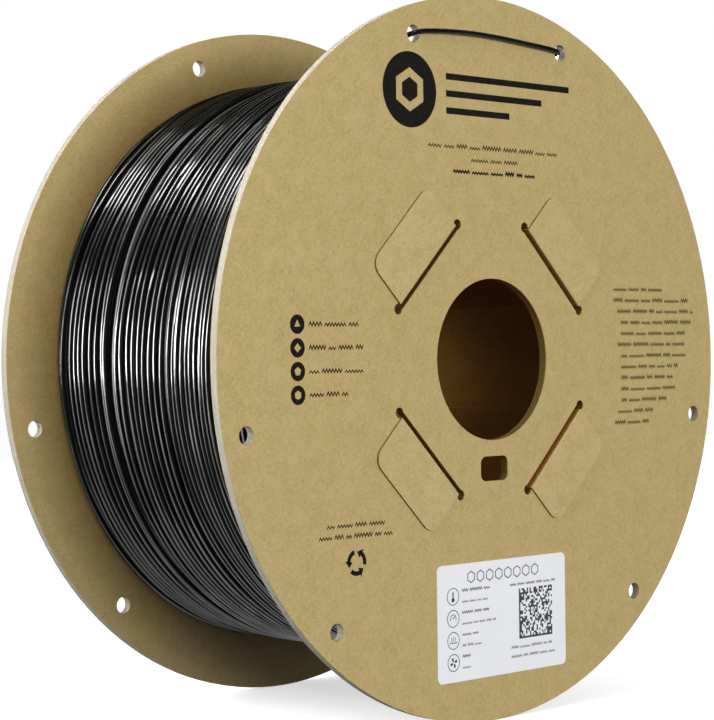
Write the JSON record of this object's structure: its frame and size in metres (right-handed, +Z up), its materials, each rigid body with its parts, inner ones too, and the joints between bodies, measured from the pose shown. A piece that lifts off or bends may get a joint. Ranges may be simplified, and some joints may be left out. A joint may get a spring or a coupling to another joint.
{
  "type": "filament spool",
  "caption": "Large card spool with two faced round flanges on a folded eight-sided core, wound with glossy black printing filament, its loose end parked in the front flange.",
  "frame": {"origin": "centre of the spindle bore, midway between the flanges' outer faces", "axes": "+Y along the spindle bore from the labelled front flange to the rear flange, +X to the right as seen from the front, +Z up with the spool standing on its two rims"},
  "size_m": [0.25, 0.118, 0.25],
  "materials": {
    "kraft_card": "matte",
    "grey_board": "matte",
    "filament": "gloss",
    "label_paper": "satin"
  },
  "bodies": {
    "root": {"front_flange_board": "grey_board", "front_outer_facing": "kraft_card", "front_inner_facing": "kraft_card", "rear_flange_board": "grey_board", "rear_outer_facing": "kraft_card", "rear_inner_facing": "kraft_card", "core_sleeve": "kraft_card", "core_wrap": "grey_board", "filament_winding": "filament", "filament_outer_turns": "filament", "filament_tail": "filament", "product_label": "label_paper"}
  },
  "joints": []
}
